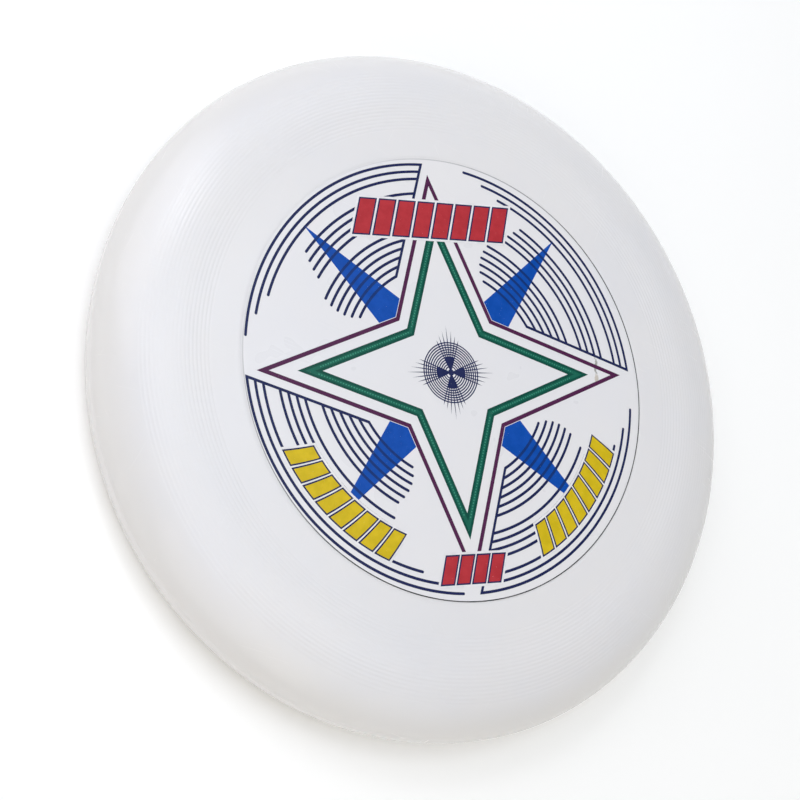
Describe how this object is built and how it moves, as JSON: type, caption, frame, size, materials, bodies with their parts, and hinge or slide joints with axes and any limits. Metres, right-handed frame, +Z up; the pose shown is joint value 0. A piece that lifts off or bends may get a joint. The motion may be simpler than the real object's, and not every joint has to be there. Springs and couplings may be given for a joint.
{
  "type": "flying disc",
  "caption": "Round one-piece throwing disc with a domed flight plate, rounded shoulder, hollow underside with an in-curled rim, and a flat printed compass-rose transfer on top.",
  "frame": {"origin": "centre of the rim's flat base plane, on the disc's axis", "axes": "+Z up along the disc's axis, out of the top of the flight plate; +Y towards the top of the printed artwork, +X to its right"},
  "size_m": [0.274, 0.274, 0.0322],
  "materials": {
    "moulded_polyethylene": "semi-gloss moulded polyethylene",
    "transfer_film": "clear transfer film, slightly glossier than the shell",
    "ink_navy": "printed ink",
    "ink_blue": "printed ink",
    "ink_green": "printed ink",
    "ink_purple": "printed ink",
    "ink_red": "printed ink",
    "ink_yellow": "printed ink"
  },
  "bodies": {
    "root": {"disc_shell": "moulded_polyethylene", "print_film": "transfer_film", "ink_blue_ray_ne": "ink_blue", "ink_blue_ray_nw": "ink_blue", "ink_blue_ray_se": "ink_blue", "ink_blue_ray_sw": "ink_blue", "ink_green_band": "ink_green", "ink_navy_comb_ne": "ink_navy", "ink_navy_comb_nw": "ink_navy", "ink_navy_comb_se": "ink_navy", "ink_navy_comb_sw": "ink_navy", "ink_navy_hub": "ink_navy", "ink_purple_outline": "ink_purple", "ink_red_block_bottom": "ink_red", "ink_red_block_top": "ink_red", "ink_yellow_block_left": "ink_yellow", "ink_yellow_block_right": "ink_yellow"}
  },
  "joints": []
}
